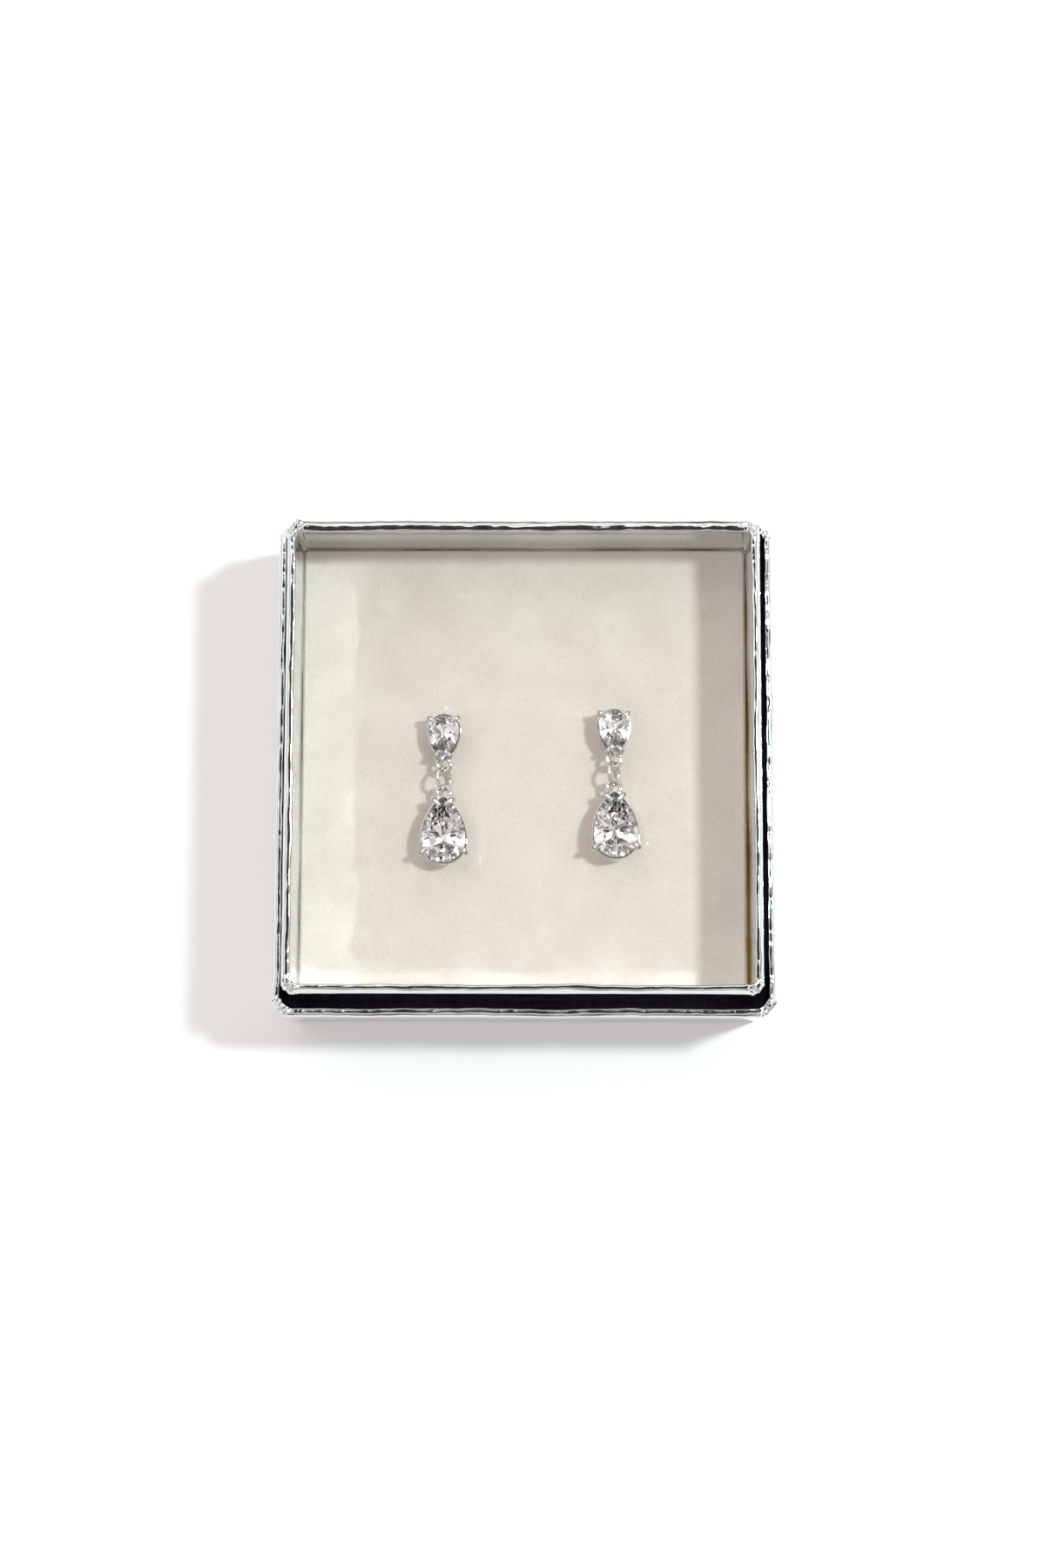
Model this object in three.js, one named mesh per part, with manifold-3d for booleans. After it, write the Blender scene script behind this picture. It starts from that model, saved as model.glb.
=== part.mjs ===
// A pair of pear-stone drop earrings pinned to the flocked pad of a foil-covered gift box, whose tray
// stands in its own upturned lid. Millimetres, +Z up, origin at the middle of the lid's underside, studs
// towards +Y.
import * as THREE from "three";
import { ConvexGeometry } from "three/addons/geometries/ConvexGeometry.js";
import { ConvexHull } from "three/addons/math/ConvexHull.js";
import { mergeVertices } from "three/addons/utils/BufferGeometryUtils.js";
import Module from "manifold-3d";

const wasm = await Module();
wasm.setup();

// Driving dimensions.
const gap = 0.3;
const lid = { side: 90, height: 22, wall: 1.4, chamfer: 2.6 };
const tray = { side: 84.8, top: 30.3, wall: 1.3, chamfer: 2.2, x: -0.27, y: 0.65 };
const pad = { side: 81, top: 15, corner: 2, x: -0.49, y: 0.71 };
const slit = { width: 0.5, depth: 5 };
const slits = [
  { x: -26.2, y: 31.5, length: 6.6, lean: 15 },
  { x: 25.1, y: 32.3, length: 8.6, lean: -9 },
];

// Stones: the girdle height is measured from the underside of the setting. The cut's table is a share of
// the girdle's size, crown and pavilion are heights as shares of half the width, and the last three are
// slopes as shares of a main facet's. All the main facets of a side have one slope, so the underside
// runs up to the point in a keel.
const studStone = { width: 5.6, length: 8.2, girdleZ: 3.1 };
const dropStone = { width: 8, length: 12, girdleZ: 3.6 };
const cut = {
  table: 0.57,
  crown: 0.29,
  pavilion: 0.855,
  upperHalf: 1.2,
  star: 0.6,
  lowerHalf: 1.07,
};
const girdleHeight = 0.1;

// Settings: a gallery band just under the girdle, a smaller rail at the base, claws, and an eye at the
// point.
const studMetal = {
  band: 1.15,
  claw: 0.4,
  clawTip: 0.2,
  clawReach: 0.55,
  roundClaw: 51,
  eyeOut: 1.0,
  eyeZ: 2.0,
};
const dropMetal = {
  band: 1.5,
  claw: 0.46,
  clawTip: 0.25,
  clawReach: 0.62,
  roundClaw: 60,
  eyeOut: 0.9,
  eyeZ: 2.35,
};
const band = { outside: 0.3, inside: -0.12, belowGirdle: 0.32 };
const rail = { scale: 0.5, width: 0.5, height: 0.6 };
const wingClaw = 44;
const eye = { radius: 1.25, wire: 0.4 };
const post = { radius: 0.4, length: 9.6, groove: 0.08, bridge: 1.2, bridgeHeight: 0.5 };

// Link: a round jump ring that stands on edge in the two eyes, which are eyeSpacing apart.
const link = { radius: 2.125, wire: 0.325, eyeSpacing: 5.15 };
const lift = 0.45;

// Where each earring lies: its stud's middle, and in degrees how stud, drop and link turn and roll.
const earrings = [
  {
    side: "left",
    x: -14.88,
    y: 7.05,
    studTurn: -0.5,
    studRoll: -7,
    dropTurn: 0.6,
    dropRoll: -3,
    linkRoll: 59,
  },
  {
    side: "right",
    x: 15.92,
    y: 8.0,
    studTurn: 0.8,
    studRoll: 8,
    dropTurn: 1.7,
    dropRoll: 2.5,
    linkRoll: 65,
  },
];
const dropPitch = 3;

const finishes = {
  foil: { color: 0xc9cbcc, roughness: 0.15, metalness: 1 },
  flock: { color: 0xe9e4d8, roughness: 0.95, metalness: 0 },
  rhodium: { color: 0xd7d8da, roughness: 0.08, metalness: 1 },
  zirconia: { color: 0xf4f6f8, roughness: 0.0, metalness: 0 },
};

const radians = THREE.MathUtils.degToRad;

// Booleans.

function toSolid(geometry) {
  const bare = geometry.index ? geometry.clone() : geometry;
  bare.deleteAttribute("normal");
  bare.deleteAttribute("uv");
  const merged = mergeVertices(bare, 1e-4);
  const mesh = new wasm.Mesh({
    numProp: 3,
    vertProperties: new Float32Array(merged.attributes.position.array),
    triVerts: new Uint32Array(merged.index.array),
  });
  return new wasm.Manifold(mesh);
}

function toGeometry(solid) {
  const mesh = solid.getMesh();
  const geometry = new THREE.BufferGeometry();
  geometry.setAttribute("position", new THREE.BufferAttribute(mesh.vertProperties, 3));
  geometry.setIndex(new THREE.BufferAttribute(mesh.triVerts, 1));
  return geometry;
}

const joined = (pieces) => toGeometry(pieces.map(toSolid).reduce((whole, piece) => whole.add(piece)));

const carved = (body, cutters) =>
  toGeometry(cutters.map(toSolid).reduce((rest, cutter) => rest.subtract(cutter), toSolid(body)));

function extruded(shape, low, high, curveSegments = 1) {
  const options = { depth: high - low, bevelEnabled: false, curveSegments };
  return new THREE.ExtrudeGeometry(shape, options).translate(0, 0, low);
}

// Box.

function roundedSquare(side, radius) {
  const h = side / 2 - radius;
  const shape = new THREE.Shape();
  shape.absarc(h, h, radius, 0, Math.PI / 2);
  shape.absarc(-h, h, radius, Math.PI / 2, Math.PI);
  shape.absarc(-h, -h, radius, Math.PI, Math.PI * 1.5);
  shape.absarc(h, -h, radius, Math.PI * 1.5, Math.PI * 2);
  return shape;
}

function chamferedSquare(side, chamfer) {
  const h = side / 2;
  const c = h - chamfer;
  const corners = [[h, c], [c, h], [-c, h], [-h, c], [-h, -c], [-c, -h], [c, -h], [h, -c]];
  return new THREE.Shape(corners.map(([x, y]) => new THREE.Vector2(x, y)));
}

// The wall is as thick across the chamfered corners as along the sides.
function openBox({ side, wall, chamfer }, low, high) {
  const outside = extruded(chamferedSquare(side, chamfer), low, high);
  const insideChamfer = chamfer - wall * (2 - Math.SQRT2);
  const inside = extruded(chamferedSquare(side - 2 * wall, insideChamfer), low + wall, high + wall);
  return carved(outside, [inside]);
}

function slitCutter({ x, y, length, lean }) {
  const cutter = new THREE.BoxGeometry(slit.width, length, slit.depth * 2);
  return cutter.rotateZ(radians(lean)).translate(x - pad.x, y - pad.y, pad.top);
}

// Pear outline, point towards +Y: a half circle of radius r round the origin runs on as two arcs of
// radius R, whose centres are on the X axis and which meet in the point. angle is the outward direction
// in degrees, and between the directions of the two arcs at the point every angle gives the point itself.

function pearRadii({ width, length }) {
  const r = width / 2;
  const point = length - r;
  const R = (r * r + point * point) / (2 * r);
  return { r, point, R, wing: THREE.MathUtils.radToDeg(Math.asin(point / R)) };
}

function pearAt(size, angle) {
  const { r, point, R, wing } = pearRadii(size);
  const direction = new THREE.Vector2(Math.cos(radians(angle)), Math.sin(radians(angle)));
  if (direction.y < 0) return { at: direction.clone().multiplyScalar(r), direction };
  if (Math.abs(angle - 90) < 90 - wing) return { at: new THREE.Vector2(0, point), direction };
  const centre = new THREE.Vector2(Math.sign(direction.x) * (r - R), 0);
  return { at: direction.clone().multiplyScalar(R).add(centre), direction };
}

function pearShape(size, offset, curve = THREE.Shape) {
  const { r, R } = pearRadii(size);
  const end = Math.acos((R - r) / (R + offset));
  const shape = new curve();
  shape.absarc(0, 0, r + offset, Math.PI, Math.PI * 2);
  shape.absarc(r - R, 0, R + offset, 0, end);
  shape.absarc(R - r, 0, R + offset, Math.PI - end, Math.PI);
  return shape;
}

function pearBand(size, outside, inside, low, high) {
  const shape = pearShape(size, outside);
  shape.holes.push(pearShape(size, inside, THREE.Path));
  return extruded(shape, low, high, 10);
}

// Stone: the space inside all the facet planes of a pear brilliant. Each plane is turned into the point
// normal / distance, and each face of those points' hull gives back one corner of the stone. The main
// facets face these directions, and the smaller ones face between them.

const mains = [90, 27, -8, -49, -90, -131, -172, -207];
const between = (share) =>
  mains.map((angle, i) => {
    const next = mains[i + 1] ?? -270;
    return angle + (next - angle) * share;
  });
const halves = [...between(0.25), ...between(0.75)];
const stars = between(0.5);
const wrapped = (angle) => (angle < -180 ? angle + 360 : angle);

function facetPlanes(size) {
  const r = size.width / 2;
  const tableHeight = r * cut.crown;
  const depth = r * cut.pavilion;
  const crownSlope = tableHeight / (r * (1 - cut.table));
  const pavilionSlope = depth / r;
  const halfGirdle = girdleHeight / 2;
  const planes = [{ normal: new THREE.Vector3(0, 0, 1), through: new THREE.Vector3(0, 0, tableHeight) }];
  const add = (direction, slope, up, at, z) =>
    planes.push({
      normal: new THREE.Vector3(direction.x * slope, direction.y * slope, up).normalize(),
      through: new THREE.Vector3(at.x, at.y, z),
    });
  const girdle = (angle) => pearAt(size, wrapped(angle));
  for (const angle of mains) {
    const g = girdle(angle);
    add(g.direction, crownSlope, 1, g.at, halfGirdle);
    add(g.direction, pavilionSlope, -1, g.at, -halfGirdle);
  }
  for (const angle of halves) {
    const g = girdle(angle);
    add(g.direction, crownSlope * cut.upperHalf, 1, g.at, halfGirdle);
    add(g.direction, pavilionSlope * cut.lowerHalf, -1, g.at, -halfGirdle);
  }
  for (const angle of stars) {
    const g = girdle(angle);
    const onTable = g.at.clone().addScaledVector(g.direction, (halfGirdle - tableHeight) / crownSlope);
    add(g.direction, crownSlope * cut.star, 1, onTable, tableHeight);
  }
  for (let angle = -180; angle < 180; angle += 10) {
    const g = pearAt(size, angle);
    add(g.direction, 1, 0, g.at, 0);
  }
  return planes;
}

function pearStone(size) {
  const planes = facetPlanes(size);
  const duals = planes.map(({ normal, through }) => normal.clone().divideScalar(normal.dot(through)));
  const corners = new Map();
  for (const { normal, constant } of new ConvexHull().setFromPoints(duals).faces) {
    const corner = normal.clone().divideScalar(constant);
    corners.set(corner.toArray().map((v) => v.toFixed(2)).join(), corner);
  }
  return new ConvexGeometry([...corners.values()]).translate(0, 0, size.girdleZ);
}

// Metal. A tapered rod follows a smooth curve through its points, with a radius at each.

function taperedRod(points, radii, across, sides = 6, steps = 8) {
  const curve = new THREE.CatmullRomCurve3(points, false, "centripetal");
  const positions = [];
  const index = [];
  for (let i = 0; i <= steps; i++) {
    const t = i / steps;
    const slot = Math.min(Math.floor(t * (radii.length - 1)), radii.length - 2);
    const radius = THREE.MathUtils.lerp(radii[slot], radii[slot + 1], t * (radii.length - 1) - slot);
    const centre = curve.getPoint(t);
    const up = curve.getTangent(t).cross(across).normalize();
    for (let j = 0; j < sides; j++) {
      const turn = (j / sides) * Math.PI * 2;
      const rim = centre.clone();
      rim.addScaledVector(across, radius * Math.cos(turn));
      rim.addScaledVector(up, radius * Math.sin(turn));
      positions.push(...rim.toArray());
    }
  }
  for (let i = 0; i < steps; i++) {
    for (let j = 0; j < sides; j++) {
      const a = i * sides + j;
      const b = i * sides + ((j + 1) % sides);
      index.push(a, b, a + sides, b, b + sides, a + sides);
    }
  }
  const last = steps * sides;
  for (let j = 1; j < sides - 1; j++) {
    index.push(0, j + 1, j);
    index.push(last, last + j, last + j + 1);
  }
  const geometry = new THREE.BufferGeometry();
  geometry.setAttribute("position", new THREE.Float32BufferAttribute(positions, 3));
  geometry.setIndex(index);
  return geometry;
}

// A claw leaves the base rail, leans out past the girdle and bends in over the crown.
function claw(size, metal, angle) {
  const { at, direction } = pearAt(size, angle);
  const foot = at.clone().multiplyScalar(rail.scale).addScaledVector(direction, -rail.width / 2);
  const g = size.girdleZ;
  const place = (out, z) => new THREE.Vector3(at.x + direction.x * out, at.y + direction.y * out, z);
  const reach = metal.clawReach;
  const points = [
    new THREE.Vector3(foot.x, foot.y, rail.height / 2),
    place(reach * 0.35, g - 1.3),
    place(reach, g - 0.15),
    place(reach * 0.75, g + 0.45),
    place(-0.05, g + 0.82),
    place(-reach * 0.85, g + 0.96),
  ];
  const shares = [0.75, 1, 1, 0.95, 0.8];
  const radii = [...shares.map((share) => metal.claw * share), metal.clawTip];
  return taperedRod(points, radii, new THREE.Vector3(-direction.y, direction.x, 0));
}

function basket(size, metal) {
  const top = size.girdleZ - band.belowGirdle;
  const small = { width: size.width * rail.scale, length: size.length * rail.scale };
  const angles = [wingClaw, 180 - wingClaw, metal.roundClaw - 90, -90 - metal.roundClaw];
  const eyeRing = new THREE.TorusGeometry(eye.radius, eye.wire, 8, 18);
  return [
    pearBand(size, band.outside, band.inside, top - metal.band, top),
    pearBand(small, 0, -rail.width, 0, rail.height),
    ...angles.map((angle) => claw(size, metal, angle)),
    eyeRing.translate(0, pearRadii(size).point + metal.eyeOut, metal.eyeZ),
  ];
}

function earPost() {
  const { radius, length, groove } = post;
  const profile = [
    [0, post.bridgeHeight / 2],
    [radius, post.bridgeHeight / 2],
    [radius, 2.2 - length],
    [radius - groove, 2 - length],
    [radius - groove, 1.6 - length],
    [radius, 1.4 - length],
    [radius, radius - length],
    [radius / 2, -length],
    [0, -length],
  ];
  const points = profile.reverse().map(([x, y]) => new THREE.Vector2(x, y));
  return new THREE.LatheGeometry(points, 12).rotateX(Math.PI / 2);
}

function postBridge() {
  const across = studStone.width * rail.scale - rail.width;
  const bar = new THREE.BoxGeometry(across, post.bridge, post.bridgeHeight);
  return bar.translate(0, 0, post.bridgeHeight / 2);
}

// Assembly.

const root = new THREE.Group();

function addMesh(parent, name, geometry, finish) {
  const mesh = new THREE.Mesh(geometry, new THREE.MeshStandardMaterial(finishes[finish]));
  mesh.name = name;
  parent.add(mesh);
  return mesh;
}

// A group that turns about a point at the eye's height over its own base.
function tilted({ x, y, z, turn = 0, roll = 0, pitch = 0 }) {
  const outer = new THREE.Group();
  outer.position.set(x, y, z);
  outer.rotation.set(radians(pitch), radians(roll), radians(turn), "ZXY");
  root.add(outer);
  return outer;
}

const eyeLevel = pad.top + lift + studMetal.eyeZ;
const studPosts = [];

for (const earring of earrings) {
  const eyeToMiddle = pearRadii(studStone).point + studMetal.eyeOut;
  const studTurn = radians(earring.studTurn);
  const studEye = {
    x: earring.x + eyeToMiddle * Math.sin(studTurn),
    y: earring.y - eyeToMiddle * Math.cos(studTurn),
  };
  const stud = tilted({
    x: earring.x,
    y: earring.y,
    z: eyeLevel,
    turn: 180 + earring.studTurn,
    roll: -earring.studRoll,
  });
  const studParts = new THREE.Group();
  studParts.position.z = -studMetal.eyeZ;
  stud.add(studParts);
  const studSolid = joined([...basket(studStone, studMetal), earPost(), postBridge()]);
  addMesh(studParts, `stud_setting_${earring.side}`, studSolid, "rhodium");
  addMesh(studParts, `stud_stone_${earring.side}`, pearStone(studStone), "zirconia");
  studPosts.push(studParts);

  const ringY = studEye.y - link.eyeSpacing / 2;
  const ring = tilted({ x: studEye.x, y: ringY, z: eyeLevel, roll: earring.linkRoll });
  const ringSolid = new THREE.TorusGeometry(link.radius, link.wire, 8, 28);
  addMesh(ring, `jump_link_${earring.side}`, ringSolid, "rhodium");

  const drop = tilted({
    x: studEye.x,
    y: studEye.y - link.eyeSpacing,
    z: eyeLevel,
    turn: earring.dropTurn,
    roll: earring.dropRoll,
    pitch: -dropPitch,
  });
  const dropParts = new THREE.Group();
  dropParts.position.set(0, -(pearRadii(dropStone).point + dropMetal.eyeOut), -dropMetal.eyeZ);
  drop.add(dropParts);
  addMesh(dropParts, `drop_setting_${earring.side}`, joined(basket(dropStone, dropMetal)), "rhodium");
  addMesh(dropParts, `drop_stone_${earring.side}`, pearStone(dropStone), "zirconia");
}

addMesh(root, "lid", openBox(lid, 0, lid.height), "foil");

const trayBase = lid.wall + gap;
const trayMesh = addMesh(root, "tray", openBox(tray, trayBase, tray.top), "foil");
trayMesh.position.set(tray.x, tray.y, 0);

// The pad is bored for each ear post, along the way that the post leans.
root.updateMatrixWorld(true);
const toPad = new THREE.Matrix4().makeTranslation(-pad.x, -pad.y, 0);
const bores = studPosts.map(({ matrixWorld }) => {
  const bore = new THREE.CylinderGeometry(post.radius + gap, post.radius + gap, post.length * 3, 12);
  return bore.rotateX(Math.PI / 2).applyMatrix4(matrixWorld).applyMatrix4(toPad);
});
const padBase = trayBase + tray.wall + gap;
const padBlock = extruded(roundedSquare(pad.side, pad.corner), padBase, pad.top, 4);
const padMesh = addMesh(root, "pad", carved(padBlock, [...slits.map(slitCutter), ...bores]), "flock");
padMesh.position.set(pad.x, pad.y, 0);

export default root;
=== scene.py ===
# Looks for a pair of pear-stone drop earrings pinned to the flocked pad of a foil-covered gift box, whose
# tray stands in its own upturned lid. Metres, +Z up, studs towards +Y. Sizes below are in millimetres.
import math

import bpy
import numpy as np
from mathutils import Matrix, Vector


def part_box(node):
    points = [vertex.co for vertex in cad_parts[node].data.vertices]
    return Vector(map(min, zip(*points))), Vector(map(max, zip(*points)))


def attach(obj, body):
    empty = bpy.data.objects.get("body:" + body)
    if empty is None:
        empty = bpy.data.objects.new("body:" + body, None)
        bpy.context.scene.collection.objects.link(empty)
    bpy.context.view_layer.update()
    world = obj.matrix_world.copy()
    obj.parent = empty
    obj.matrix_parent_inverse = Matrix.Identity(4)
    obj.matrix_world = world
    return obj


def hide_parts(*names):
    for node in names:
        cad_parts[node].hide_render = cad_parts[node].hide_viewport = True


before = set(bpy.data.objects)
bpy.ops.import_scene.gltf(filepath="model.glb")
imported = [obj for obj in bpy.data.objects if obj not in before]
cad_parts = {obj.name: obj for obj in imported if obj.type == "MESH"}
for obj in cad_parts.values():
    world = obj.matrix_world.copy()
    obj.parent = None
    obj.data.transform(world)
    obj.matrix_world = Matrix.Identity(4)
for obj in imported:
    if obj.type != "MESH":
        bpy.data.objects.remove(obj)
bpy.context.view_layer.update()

print("frame loaded:", len(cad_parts), "nodes")
mm = 0.001


def hexToLinear(code):  # sRGB hex to the linear colour that a shader takes
    shares = [int(code[i:i + 2], 16) / 255 for i in (1, 3, 5)]
    return [s / 12.92 if s <= 0.04045 else ((s + 0.055) / 1.055) ** 2.4 for s in shares] + [1]


def addNode(tree, kind, settings=None, links=None):  # a node with its values, and its inputs' sources
    node = tree.nodes.new(kind)
    for name, value in (settings or {}).items():
        if isinstance(name, int) or name in node.inputs:
            node.inputs[name].default_value = value
        else:
            setattr(node, name, value)
    for name, source in (links or {}).items():
        tree.links.new(source, node.inputs[name])
    return node


def emptyMaterial(name):
    material = bpy.data.materials.new(name)
    material.use_nodes = True
    material.node_tree.nodes.clear()
    return material, material.node_tree


def finishMaterial(tree, shader):
    addNode(tree, "ShaderNodeOutputMaterial", links={"Surface": shader.outputs["BSDF"]})


def makePiece(name, points, quads, materials, node, uv=None, faceMaterial=None):
    # points in millimetres; a face with its last corner doubled is a triangle. Where the volume that the
    # faces enclose comes out negative, all of them are turned, so that they point outwards.
    p = points[quads]
    volume = np.einsum("ij,ij->i", p[:, 0], np.cross(p[:, 1], p[:, 2])).sum()
    volume += np.einsum("ij,ij->i", p[:, 0], np.cross(p[:, 2], p[:, 3])).sum()
    if volume < 0:
        quads = quads[:, ::-1]
        uv = None if uv is None else uv[:, ::-1]
    keep = np.ones(quads.shape, bool)
    for a, b in ((2, 3), (3, 0), (0, 1)):
        keep[:, b] &= quads[:, a] != quads[:, b]
    sizes = keep.sum(1)
    mesh = bpy.data.meshes.new(name)
    mesh.vertices.add(len(points))
    mesh.vertices.foreach_set("co", (points * mm).astype(np.float32).ravel())
    mesh.loops.add(int(sizes.sum()))
    mesh.loops.foreach_set("vertex_index", quads[keep].astype(np.int32))
    mesh.polygons.add(len(quads))
    mesh.polygons.foreach_set("loop_start", (np.cumsum(sizes) - sizes).astype(np.int32))
    mesh.polygons.foreach_set("loop_total", sizes.astype(np.int32))
    mesh.polygons.foreach_set("use_smooth", np.ones(len(quads), bool))
    if faceMaterial is not None:
        mesh.polygons.foreach_set("material_index", faceMaterial.astype(np.int32))
    mesh.update(calc_edges=True)
    if uv is not None:
        layer = mesh.uv_layers.new(name="surface")
        layer.data.foreach_set("uv", (uv[keep] * mm).astype(np.float32).ravel())
    mesh.validate()
    for material in materials:
        mesh.materials.append(material)
    piece = bpy.data.objects.new(name, mesh)
    bpy.context.scene.collection.objects.link(piece)
    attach(piece, "root")
    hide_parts(node)
    return piece


def gridQuads(rows, columns, start=0, closedRows=False, closedColumns=True):
    # the faces of a grid of points, row after row; a closed way runs on from its last line to its first
    row = np.arange(rows if closedRows else rows - 1)[:, None]
    column = np.arange(columns if closedColumns else columns - 1)[None, :]
    nextRow = (row + 1) % rows
    nextColumn = (column + 1) % columns
    corners = [row * columns + column, row * columns + nextColumn]
    corners += [nextRow * columns + nextColumn, nextRow * columns + column]
    return np.stack([c.ravel() for c in np.broadcast_arrays(*corners)], 1) + start


def fanQuads(ring, pole):  # triangles from a closed ring of points to one point
    return np.stack([ring, np.roll(ring, -1), np.full(len(ring), pole), np.full(len(ring), pole)], 1)


studio = {
    "cameraPlace": (3.90, -70.68, 492.65), "cameraTilt": 8.126, "cameraPan": 0.544, "cameraRoll": 0.145,
    "lens": 60.57, "sensor": 36, "nearest": 10, "farthest": 20000,
    "keyPower": 5.5, "keyDistance": 1000, "keySize": 120, "keyElevation": 56.5, "keyAzimuth": 15,
    "keyColour": "#E9FBF9", "skyColour": "#FFFAF8", "floorColour": "#FAFAFA", "floorSize": 6000,
    "panelScale": 9.0, "panelEdge": (0.42, 0.47), "panelStrength": (0.8, 1.92),
}

# how the sky's strength changes over a span of its direction's X, Y or Z
skyBands = [
    {"axis": "Z", "span": (0.14, 0.4), "strength": (0.1, 1)},  # dim at the horizon
    {"axis": "Z", "span": (0.93, 0.955), "strength": (1, 0.05)},  # a dark patch straight above
    {"axis": "Y", "span": (-0.3, 0.3), "strength": (0.42, 0.74)},  # dimmer in front than behind
    {"axis": "X", "span": (-0.4, 0), "strength": (1.28, 1)},  # brighter on the left
]


def buildCamera():
    data = bpy.data.cameras.new("camera")
    data.sensor_width = studio["sensor"]
    data.lens = studio["lens"]
    data.clip_start, data.clip_end = studio["nearest"] * mm, studio["farthest"] * mm
    camera = bpy.data.objects.new("camera", data)
    bpy.context.scene.collection.objects.link(camera)
    turn = Matrix.Rotation(math.radians(studio["cameraPan"]), 4, "Y")
    tilt = Matrix.Rotation(math.radians(studio["cameraTilt"]), 4, "X")
    roll = Matrix.Rotation(math.radians(studio["cameraRoll"]), 4, "Z")
    place = Matrix.Translation([v * mm for v in studio["cameraPlace"]])
    camera.matrix_world = place @ turn @ tilt @ roll
    bpy.context.scene.camera = camera


def buildKey():  # a round lamp high on the right and a little behind: the shadows fall left and forward
    data = bpy.data.lights.new("key", "AREA")
    data.shape = "DISK"
    data.size = studio["keySize"] * mm
    data.energy = studio["keyPower"]
    data.color = hexToLinear(studio["keyColour"])[:3]
    key = bpy.data.objects.new("key", data)
    bpy.context.scene.collection.objects.link(key)
    up, around = math.radians(studio["keyElevation"]), math.radians(studio["keyAzimuth"])
    away = Matrix.Translation((0, 0, studio["keyDistance"] * mm))
    key.matrix_world = Matrix.Rotation(around, 4, "Z") @ Matrix.Rotation(math.pi / 2 - up, 4, "Y") @ away


def buildSky():
    # Strength = panels x bands. The panels are a noise cut to light and dark with a narrow soft edge, and
    # melt into an even light where the first band dims the horizon. On metal and in the stones they give
    # hard light and dark, and on matt things a soft even light.
    world = bpy.data.worlds.new("studio")
    bpy.context.scene.world = world
    world.use_nodes = True
    tree = world.node_tree
    tree.nodes.clear()
    place = addNode(tree, "ShaderNodeTexCoord")
    axes = addNode(tree, "ShaderNodeSeparateXYZ", links={0: place.outputs["Generated"]})
    patches = addNode(tree, "ShaderNodeTexNoise", {"Scale": studio["panelScale"], "Detail": 1},
                      {"Vector": place.outputs["Generated"]})
    ends = dict(enumerate(studio["panelEdge"] + studio["panelStrength"], 1))
    panel = addNode(tree, "ShaderNodeMapRange", ends, {0: patches.outputs["Fac"]})
    bands = []
    for band in skyBands:
        ends = dict(enumerate(band["span"] + band["strength"], 1))
        bands.append(addNode(tree, "ShaderNodeMapRange", ends, {0: axes.outputs[band["axis"]]}))
    light = addNode(tree, "ShaderNodeMix", {2: 1}, {0: bands[0].outputs[0], 3: panel.outputs[0]})
    for band in bands:
        pair = {0: light.outputs[0], 1: band.outputs[0]}
        light = addNode(tree, "ShaderNodeMath", {"operation": "MULTIPLY"}, pair)
    back = addNode(tree, "ShaderNodeBackground", {"Color": hexToLinear(studio["skyColour"])},
                   {"Strength": light.outputs[0]})
    addNode(tree, "ShaderNodeOutputWorld", links={"Surface": back.outputs[0]})


def buildFloor():
    half = studio["floorSize"] / 2 * mm
    corners = [(-half, -half, 0), (half, -half, 0), (half, half, 0), (-half, half, 0)]
    mesh = bpy.data.meshes.new("floor")
    mesh.from_pydata(corners, [], [(0, 1, 2, 3)])
    material, tree = emptyMaterial("paintedStudioTable")  # matt white paint, only there to take the shadow
    look = {"Base Color": hexToLinear(studio["floorColour"]), "Roughness": 0.9, "Specular IOR Level": 0.1}
    finishMaterial(tree, addNode(tree, "ShaderNodeBsdfPrincipled", look))
    mesh.materials.append(material)
    floor = bpy.data.objects.new("floor", mesh)
    bpy.context.scene.collection.objects.link(floor)


scene = bpy.context.scene
scene.view_settings.view_transform = "Standard"
scene.cycles.blur_glossy = 0  # the foil walls throw the key light on as a clear bright strip on the pad
scene.cycles.sample_clamp_indirect = 0
scene.cycles.glossy_bounces = 10  # light turns round several times inside a stone
buildCamera()
buildKey()
buildSky()
buildFloor()
print("camera, lights and floor made")


foilLook = {
    "colour": "#DCE0DE", "roughness": 0.05, "roughnessSpread": 0.02, "smudge": 14,
    "creaseLength": 9, "creaseWidth": 1.2, "creaseHeight": 0.004, "grain": 0.7, "grainHeight": 0.0006,
}


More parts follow.
